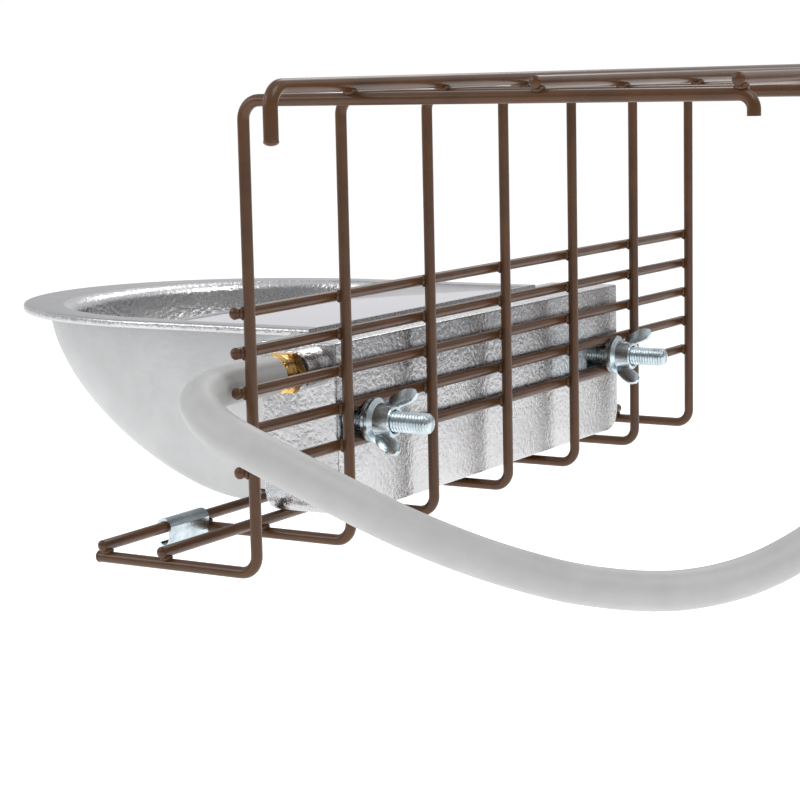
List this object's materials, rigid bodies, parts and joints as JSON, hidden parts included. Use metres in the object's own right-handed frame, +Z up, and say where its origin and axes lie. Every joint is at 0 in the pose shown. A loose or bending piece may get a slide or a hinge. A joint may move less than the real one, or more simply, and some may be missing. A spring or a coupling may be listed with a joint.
{
  "type": "float valve drinking bowl on hanging rack",
  "caption": "Cast livestock drinking bowl with a float valve chamber, on a hanging coated-wire rack with a shelf and a feed hose.",
  "frame": {"origin": "midway between the two end hooks, on the underside of the hook wire, where the rack hangs on a cage wire", "axes": "+X along the rack towards the water inlet, -Y out over the bowl, +Y out over the wire shelf, +Z up"},
  "size_m": [0.463, 0.438, 0.1844],
  "materials": {
    "coated_wire": "glossy brown coating",
    "cast_metal": "as cast, satin",
    "sheet_metal": "bright polished sheet",
    "zinc": "zinc plated",
    "brass": "turned",
    "rubber": "matte",
    "float_plastic": "matte",
    "hose_plastic": "matte"
  },
  "bodies": {
    "rack_and_bowl": {"back_rail_1": "coated_wire", "back_rail_2": "coated_wire", "back_rail_3": "coated_wire", "back_rail_4": "coated_wire", "back_rail_5": "coated_wire", "cage_clip": "zinc", "coupling_nut": "brass", "foot_rail_1": "coated_wire", "foot_rail_2": "coated_wire", "hook_rail": "coated_wire", "hose_clip": "zinc", "hose_coupling": "brass", "hose_tail": "brass", "inlet_gasket": "rubber", "pivot_pin": "zinc", "shelf_rail_1": "coated_wire", "shelf_rail_2": "coated_wire", "stud_far": "zinc", "stud_near": "zinc", "trough_body": "cast_metal", "upright_wire_1": "coated_wire", "upright_wire_2": "coated_wire", "upright_wire_3": "coated_wire", "upright_wire_4": "coated_wire", "upright_wire_5": "coated_wire", "upright_wire_6": "coated_wire", "upright_wire_7": "coated_wire", "valve_body": "brass", "washer_far": "zinc", "washer_near": "zinc", "water_hose": "hose_plastic"},
    "float_arm": {"float_lever": "brass", "float": "float_plastic", "float_screw": "zinc"},
    "plunger": {"valve_plunger": "brass", "plunger_seal": "rubber"},
    "near_wing_nut": {"wing_nut_near": "zinc"},
    "far_wing_nut": {"wing_nut_far": "zinc"},
    "cover": {"chamber_cover": "sheet_metal"}
  },
  "joints": [
    {"name": "float_hinge", "type": "hinge", "parent": "rack_and_bowl", "child": "float_arm", "pos_m": [0.0617, -0.0586, -0.114], "axis": [0, 1, 0], "range_deg": [-7, 0]},
    {"name": "plunger_slide", "type": "slide", "parent": "rack_and_bowl", "child": "plunger", "axis": [1, 0, 0], "range_m": [-0.002, 0]},
    {"name": "near_nut_spin", "type": "hinge", "parent": "rack_and_bowl", "child": "near_wing_nut", "pos_m": [0.1028, -0.036, -0.1226], "axis": [0, 1, 0], "continuous": true},
    {"name": "far_nut_spin", "type": "hinge", "parent": "rack_and_bowl", "child": "far_wing_nut", "pos_m": [-0.1028, -0.036, -0.1226], "axis": [0, 1, 0], "continuous": true},
    {"name": "cover_lift", "type": "slide", "parent": "rack_and_bowl", "child": "cover", "axis": [0, 0, 1], "range_m": [0, 0.06]}
  ],
  "couplings": [
    {"joint": "plunger_slide", "follows": "float_hinge", "m_per_rad": 0.0131}
  ]
}
